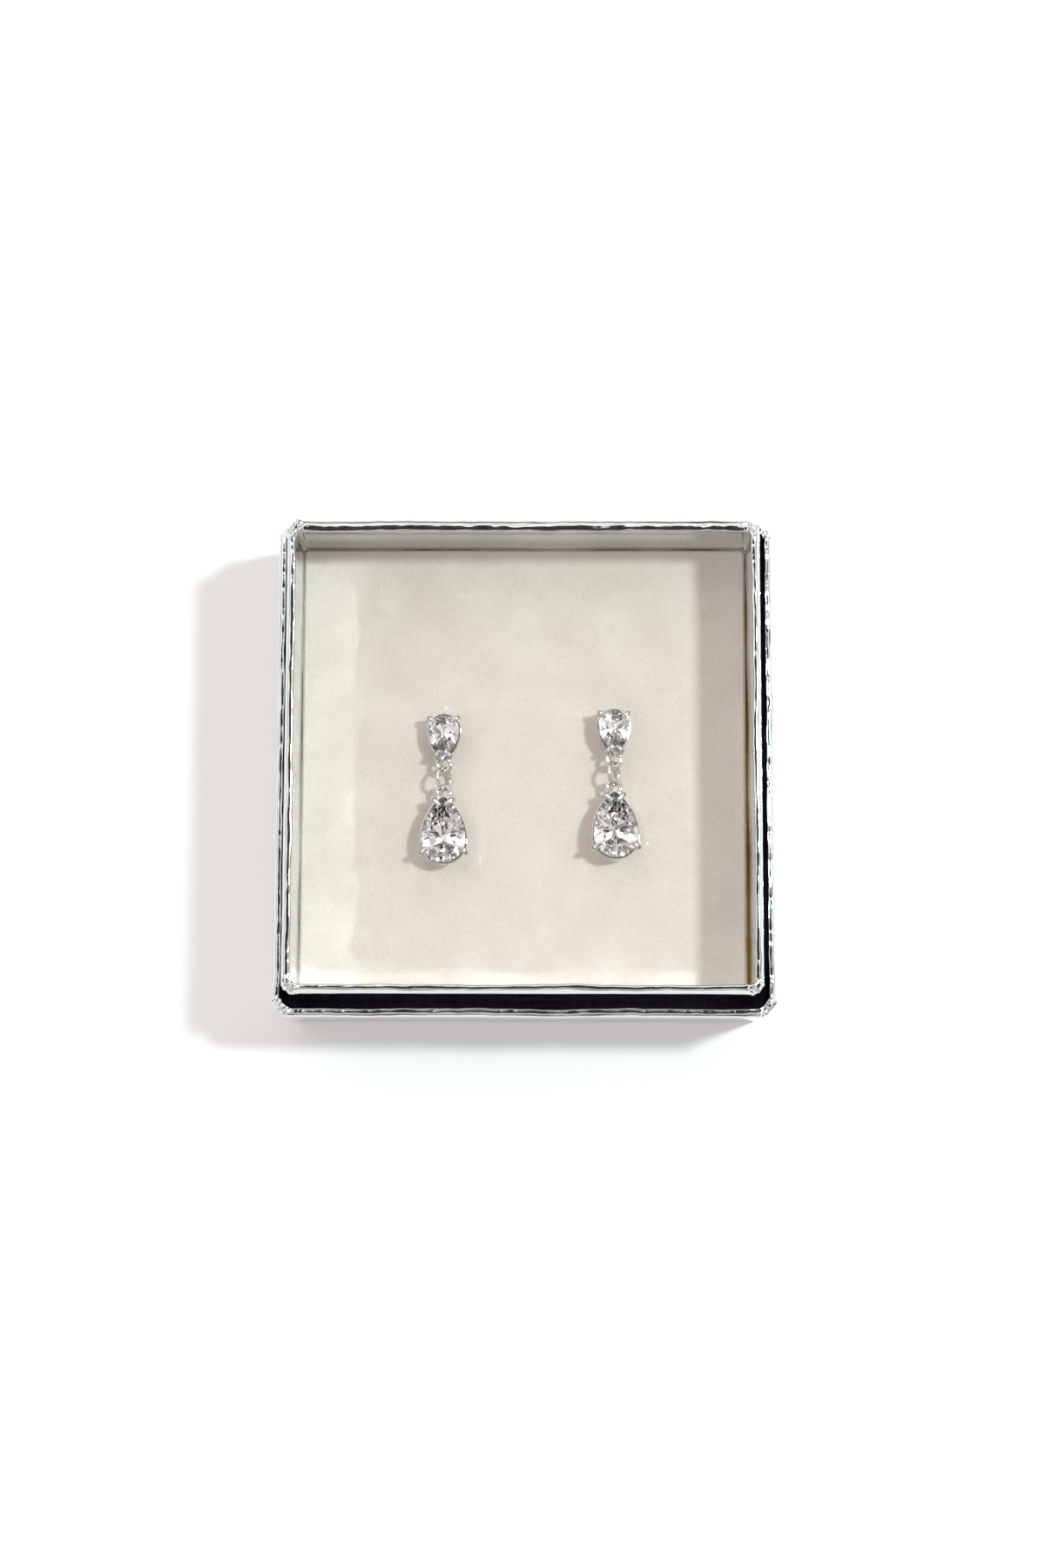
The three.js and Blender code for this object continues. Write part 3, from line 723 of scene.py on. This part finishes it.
def stoneFrame(node):
    # The stone's own axes: Z is the normal of its largest facet, the table; Y runs to its farthest point,
    # the tip; the origin is on the girdle, at the middle of the round end. Returned in millimetres.
    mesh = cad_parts[node].data
    co = np.zeros(len(mesh.vertices) * 3)
    mesh.vertices.foreach_get("co", co)
    co = co.reshape(-1, 3) / mm
    normals = np.zeros(len(mesh.polygons) * 3)
    mesh.polygons.foreach_get("normal", normals)
    areas = np.zeros(len(mesh.polygons))
    mesh.polygons.foreach_get("area", areas)
    keys, which = np.unique(np.round(normals.reshape(-1, 3), 2), axis=0, return_inverse=True)
    up = keys[np.argmax(np.bincount(which.ravel(), areas))]
    up = up / np.linalg.norm(up)
    middles = np.zeros(len(mesh.polygons) * 3)
    mesh.polygons.foreach_get("center", middles)
    centre = areas @ middles.reshape(-1, 3) / areas.sum() / mm
    flat = (co - centre) - np.outer((co - centre) @ up, up)
    spread = np.linalg.norm(flat, axis=1)
    tip = np.argmax(spread)
    ahead = flat[tip] / spread[tip]
    across = np.cross(ahead, up)
    width, length = np.ptp(co @ across), np.ptp(co @ ahead)
    origin = across * (co @ across).min() + across * width / 2
    origin = origin + ahead * ((co @ ahead).min() + width / 2) + up * (co[tip] @ up)
    return {"origin": origin, "axes": np.stack([across, ahead, up]), "width": width, "length": length}


def pearLoop(size, offset, count=72):
    # A pear outline, point towards +Y: a half circle of radius r runs on as two arcs of radius big, whose
    # centres are on the X axis; offset moves the outline out.
    r = size["width"] / 2
    point = size["length"] - r
    big = (r * r + point * point) / (2 * r)
    end = math.acos((big - r) / (big + offset))
    low = np.linspace(math.pi, 2 * math.pi, count, endpoint=False)
    right = np.linspace(0, end, count, endpoint=False)
    left = np.linspace(math.pi - end, math.pi, count, endpoint=False)
    small, large = r + offset, big + offset
    x = [small * np.cos(low), r - big + large * np.cos(right), big - r + large * np.cos(left)]
    y = [small * np.sin(low), large * np.sin(right), large * np.sin(left)]
    return np.stack([np.hstack(x), np.hstack(y)], 1)


def pearAt(size, angle):  # the point of the outline that faces an angle in degrees, and that direction
    r = size["width"] / 2
    point = size["length"] - r
    big = (r * r + point * point) / (2 * r)
    direction = np.array([math.cos(math.radians(angle)), math.sin(math.radians(angle))])
    if direction[1] < 0:
        return direction * r, direction
    if abs(direction[0]) < (big - r) / big:
        return np.array([0, point]), direction
    return direction * big - np.array([math.copysign(big - r, direction[0]), 0]), direction


def roundedSection(low, high, bottom, top, radius, each=5):
    # A rounded rectangle as a closed loop of offset and height, corner after corner
    loop = []
    corners = [(high - radius, top - radius, 0), (low + radius, top - radius, 90)]
    corners += [(low + radius, bottom + radius, 180), (high - radius, bottom + radius, 270)]
    for cx, cz, start in corners:
        turn = arc(each, start, start + 90)
        loop.append(np.stack([cx + radius * np.cos(turn), cz + radius * np.sin(turn)], 1))
    return np.vstack(loop)


def pearBand(size, low, high, bottom, top, radius):  # a rounded section carried round the pear outline
    section = roundedSection(low, high, bottom, top, radius)
    outlines = [pearLoop(size, offset) for offset, _ in section]
    around = len(outlines[0])
    loops = [np.column_stack([line, np.full(around, z)]) for line, (_, z) in zip(outlines, section)]
    return np.vstack(loops), gridQuads(len(section), around, closedRows=True)


def throughPoints(points, radii, steps=36):
    # A smooth curve through points, as a Catmull-Rom spline, with the radii eased between them
    p = np.vstack([2 * points[0] - points[1], points, 2 * points[-1] - points[-2]])
    t = np.linspace(0, len(points) - 1, steps)
    i = np.minimum(t.astype(int), len(points) - 2)
    f = (t - i)[:, None]
    a, b, c, d = p[i], p[i + 1], p[i + 2], p[i + 3]
    square, cube = 2 * a - 5 * b + 4 * c - d, 3 * b - a - 3 * c + d
    path = 0.5 * (2 * b + (c - a) * f + square * f ** 2 + cube * f ** 3)
    return path, np.interp(t, np.arange(len(points)), radii)


def roundTube(path, radii, across, flatten=1.0, sides=20):
    # Rings carried along a path, wide along across and flatten times as thick, closed by a round end at
    # each end: there the radius falls as a cosine while the ring moves on by a sine.
    tangent = np.gradient(path, axis=0)
    tangent = tangent / np.linalg.norm(tangent, axis=1, keepdims=True)
    cap = arc(6, 0, 84)[1:]
    head = path[0] - tangent[0] * (radii[0] * np.sin(cap)[::-1])[:, None]
    tail = path[-1] + tangent[-1] * (radii[-1] * np.sin(cap))[:, None]
    centre = np.vstack([head, path, tail])
    radius = np.hstack([radii[0] * np.cos(cap)[::-1], radii, radii[-1] * np.cos(cap)])
    forward = np.vstack([np.tile(tangent[0], (5, 1)), tangent, np.tile(tangent[-1], (5, 1))])
    up = np.cross(forward, across)
    up = up / np.linalg.norm(up, axis=1, keepdims=True)
    turn = np.linspace(0, 2 * math.pi, sides, endpoint=False)
    aside = np.cos(turn)[None, :, None] * across
    upward = flatten * np.sin(turn)[None, :, None] * up[:, None]
    rings = centre[:, None] + radius[:, None, None] * (aside + upward)
    count = len(centre) * sides
    poles = np.vstack([path[0] - tangent[0] * radii[0], path[-1] + tangent[-1] * radii[-1]])
    quads = np.vstack([gridQuads(len(centre), sides), fanQuads(np.arange(sides)[::-1], count),
                       fanQuads(np.arange(sides) + count - sides, count + 1)])
    return np.vstack([rings.reshape(-1, 3), poles]), quads


def ringTube(radius, wire, start=0.0, end=360.0, around=96, sides=20):
    # A round wire bent to a circle in the XY plane; short of a full turn its two ends are flat cuts
    full = end - start >= 360
    turn = np.radians(np.linspace(start, end, around, endpoint=not full))
    section = np.linspace(0, 2 * math.pi, sides, endpoint=False)
    reach = radius + wire * np.cos(section)
    x, y = np.cos(turn)[:, None] * reach, np.sin(turn)[:, None] * reach
    z = np.broadcast_to(wire * np.sin(section), x.shape)
    points = np.stack([x, y, z], -1).reshape(-1, 3)
    if full:
        return points, gridQuads(around, sides, closedRows=True)
    ends = radius * np.array([[math.cos(angle), math.sin(angle), 0] for angle in (turn[0], turn[-1])])
    quads = [gridQuads(around, sides), fanQuads(np.arange(sides)[::-1], len(points))]
    quads.append(fanQuads(np.arange(sides) + len(points) - sides, len(points) + 1))
    return np.vstack([points, ends]), np.vstack(quads)


def clawPath(size, own, angle):
    # A claw rises from the base rail, leans out past the girdle and bends down onto the crown, whose
    # slope is its height over its width from girdle to table.
    shape = settingShape
    at, direction = pearAt(size, angle)
    crown = size["width"] / 2 * shape["crown"]
    slope = crown / ((1 - shape["table"]) * size["width"] / 2)
    reach, tip = own["reach"], own["tip"]
    foot = at * shape["railScale"] - direction * shape["railWidth"] / 2
    rows = [  # out from the girdle, height from it, and share of the claw's radius
        (reach * 0.35, -1.3, 1.0),
        (reach, -0.15, 1.0),
        (reach * 0.72, 0.36, 0.95),
        (0, 0.62, 0.82),
        (-reach * 0.95, slope * reach * 0.95 + tip * 0.75, tip / own["claw"]),
    ]
    points = [[*foot, -own["girdle"] + shape["railHeight"] / 2]]
    points += [[*(at + direction * out), z] for out, z, _ in rows]
    shares = [0.75] + [share for _, _, share in rows]
    path, radii = throughPoints(np.array(points), [own["claw"] * share for share in shares])
    return roundTube(path, radii, np.array([-direction[1], direction[0], 0]), 0.9)


def settingParts(kind, size):
    shape, own = settingShape, settingShape[kind]
    top = -shape["belowGirdle"]
    base = -own["girdle"]
    small = {"width": size["width"] * shape["railScale"], "length": size["length"] * shape["railScale"]}
    point = size["length"] - size["width"] / 2
    parts = [
        pearBand(size, shape["inside"], shape["outside"], top - own["band"], top, shape["rounding"]),
        pearBand(small, -shape["railWidth"], 0, base, base + shape["railHeight"], shape["rounding"]),
    ]
    wing, low = shape["wingClaw"], own["roundClaw"]
    parts += [clawPath(size, own, angle) for angle in (wing, 180 - wing, low - 90, -90 - low)]
    eye, faces = ringTube(shape["eyeRadius"], shape["eyeWire"])
    parts.append((eye + np.array([0, point + own["eyeOut"], own["eyeZ"] - own["girdle"]]), faces))
    if kind == "stud":
        reach = small["width"] / 2 - shape["railWidth"] / 2
        bar = np.array([[x, 0, base + shape["barHeight"]] for x in (-reach, 0, reach)])
        path, radii = throughPoints(bar, shape["barRadii"])
        parts.append(roundTube(path, radii, np.array([0, 1, 0]), shape["barFlatten"]))
        stem = np.array([[0, 0, base + mark["z"]] for mark in postMarks])
        path, radii = throughPoints(stem, [shape["postRadius"] * mark["share"] for mark in postMarks], 90)
        parts.append(roundTube(path, radii, np.array([1, 0, 0])))
    return parts


def gathered(parts):  # several closed shells as one list of points and faces
    points, quads, start = [], [], 0
    for p, q in parts:
        points.append(p)
        quads.append(q + start)
        start += len(p)
    return np.vstack(points), np.vstack(quads)


def turnedOut(points, quads):  # each shell's faces turned so that the volume inside is positive
    p = points[quads]
    volume = np.einsum("ij,ij->i", p[:, 0], np.cross(p[:, 1], p[:, 2]) + np.cross(p[:, 2], p[:, 3])).sum()
    return (points, quads) if volume > 0 else (points, quads[:, ::-1])


def soldered(piece):
    # The shells become one skin on a fine voxel grid, and smoothing leaves a small fillet at each joint
    remesh = piece.modifiers.new("soldered", "REMESH")
    remesh.mode, remesh.voxel_size, remesh.use_smooth_shade = "VOXEL", settingShape["voxel"] * mm, True
    smooth = piece.modifiers.new("tumbled", "SMOOTH")
    smooth.factor, smooth.iterations = 0.5, settingShape["smoothing"]
    depsgraph = bpy.context.evaluated_depsgraph_get()
    skin = bpy.data.meshes.new_from_object(piece.evaluated_get(depsgraph))
    piece.modifiers.clear()
    piece.data = skin
    return piece


def buildSetting(kind, side):
    node = f"{kind}_setting_{side}"
    size = stoneFrame(f"{kind}_stone_{side}")
    parts = [turnedOut(*part) for part in settingParts(kind, size)]
    points, quads = gathered(parts)
    points = points @ size["axes"] + size["origin"]
    piece = makePiece(node + "_cast", points, quads, [rhodium], node)
    return soldered(piece)


linkShape = {"radius": 2.1, "wire": 0.36, "cut": 1.2, "cutAt": 200}  # the cut is an angle in degrees


def buildLink(side):
    # The link's plane is the one across which its points spread least
    node = "jump_link_" + side
    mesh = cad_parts[node].data
    co = np.zeros(len(mesh.vertices) * 3)
    mesh.vertices.foreach_get("co", co)
    co = co.reshape(-1, 3) / mm
    centre = (co.min(0) + co.max(0)) / 2
    normal = np.linalg.svd(np.unique(np.round(co - centre, 3), axis=0), full_matrices=False)[2][2]
    ahead = np.cross(normal, [0, 1, 0])
    axes = np.stack([np.cross(ahead, normal), ahead, normal])
    axes = axes / np.linalg.norm(axes, axis=1, keepdims=True)
    gap, at = linkShape["cut"] / 2, linkShape["cutAt"]
    points, quads = ringTube(linkShape["radius"], linkShape["wire"], gap + at, at + 360 - gap)
    return makePiece(node + "_wire", points @ axes + centre, quads, [rhodium], node)


for side in ("left", "right"):
    for kind in ("stud", "drop"):
        piece = buildSetting(kind, side)
        print(piece.name, "cast:", len(piece.data.polygons), "faces")
        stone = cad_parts[f"{kind}_stone_{side}"]
        stone.data.materials.clear()
        stone.data.materials.append(zirconia)
    buildLink(side)
print("earrings made")
